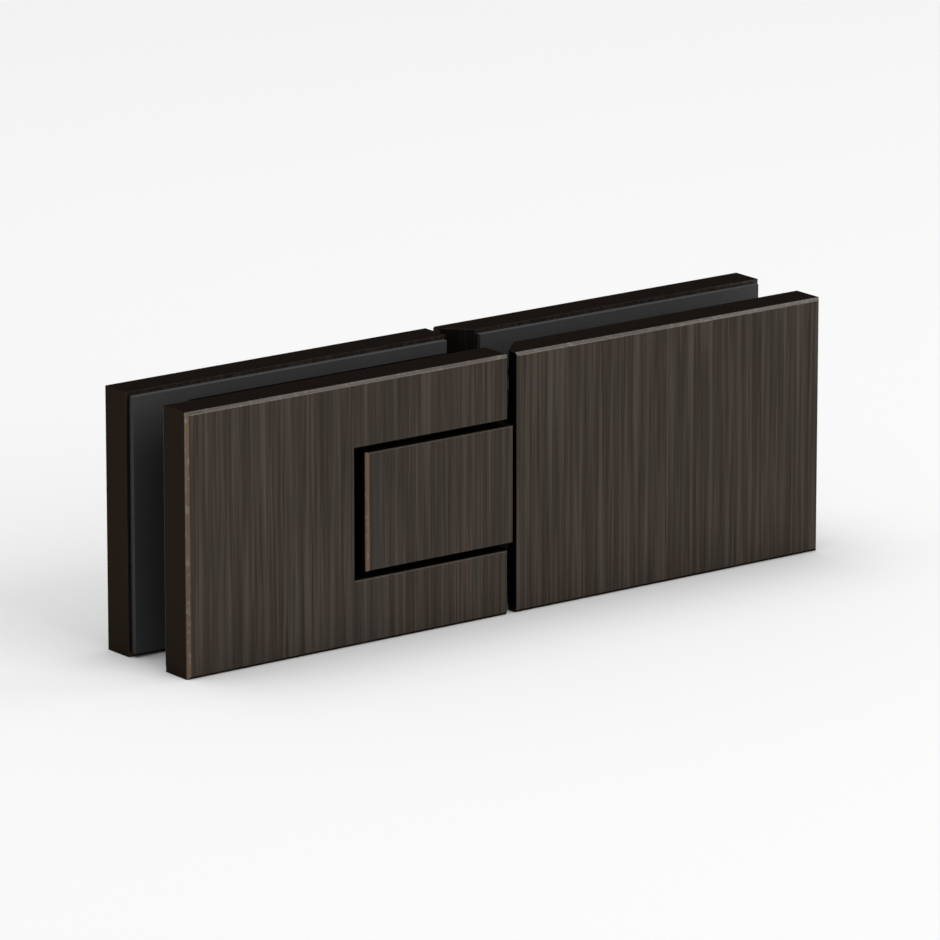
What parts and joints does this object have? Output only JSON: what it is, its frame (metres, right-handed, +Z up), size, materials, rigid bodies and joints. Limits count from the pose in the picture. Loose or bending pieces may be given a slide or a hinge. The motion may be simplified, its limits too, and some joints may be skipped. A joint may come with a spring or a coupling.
{
  "type": "lift hinge",
  "caption": "Pane-to-pane door hinge with clamped leaves, a turning block in a notch and a hidden cam that lifts the door leaf as it opens.",
  "frame": {"origin": "middle of the gap between the two leaves, at mid height, in the middle plane of the clamped panes", "axes": "+X along the leaves towards the door leaf, +Y to the rear (screw) side, +Z up"},
  "size_m": [0.1238, 0.022, 0.042],
  "materials": {
    "bronze": "brushed dark bronze",
    "screw_steel": "turned stainless",
    "cam_steel": "hardened, dark",
    "acetal": "satin",
    "gasket": "matt"
  },
  "bodies": {
    "fixed_leaf": {"fixed_front_plate": "bronze", "fixed_rear_plate": "bronze", "pin_carrier": "bronze", "fixed_front_gasket": "gasket", "fixed_rear_gasket": "gasket", "fixed_clamp_screws": "screw_steel", "carrier_screws": "screw_steel", "pivot_pin": "screw_steel", "pin_grub_screws": "cam_steel", "lift_cam": "cam_steel", "lower_thrust_washer": "acetal"},
    "turning_block": {"pivot_block": "bronze", "upper_bush": "acetal", "lower_bush": "acetal", "upper_thrust_washer": "acetal"},
    "door_leaf": {"door_front_plate": "bronze", "door_rear_plate": "bronze", "lifter": "cam_steel", "cam_follower": "acetal", "door_front_gasket": "gasket", "door_rear_gasket": "gasket", "door_clamp_screws": "screw_steel", "lifter_screws": "screw_steel"}
  },
  "joints": [
    {"name": "swing", "type": "hinge", "parent": "fixed_leaf", "child": "turning_block", "pos_m": [-0.01468, 0, 0], "axis": [0, 0, -1], "range_deg": [0, 90]},
    {"name": "lift", "type": "slide", "parent": "turning_block", "child": "door_leaf", "axis": [0, 0, 1], "range_m": [0, 0.004]}
  ],
  "couplings": [
    {"joint": "lift", "follows": "swing", "m_per_rad": 0.0025464}
  ]
}
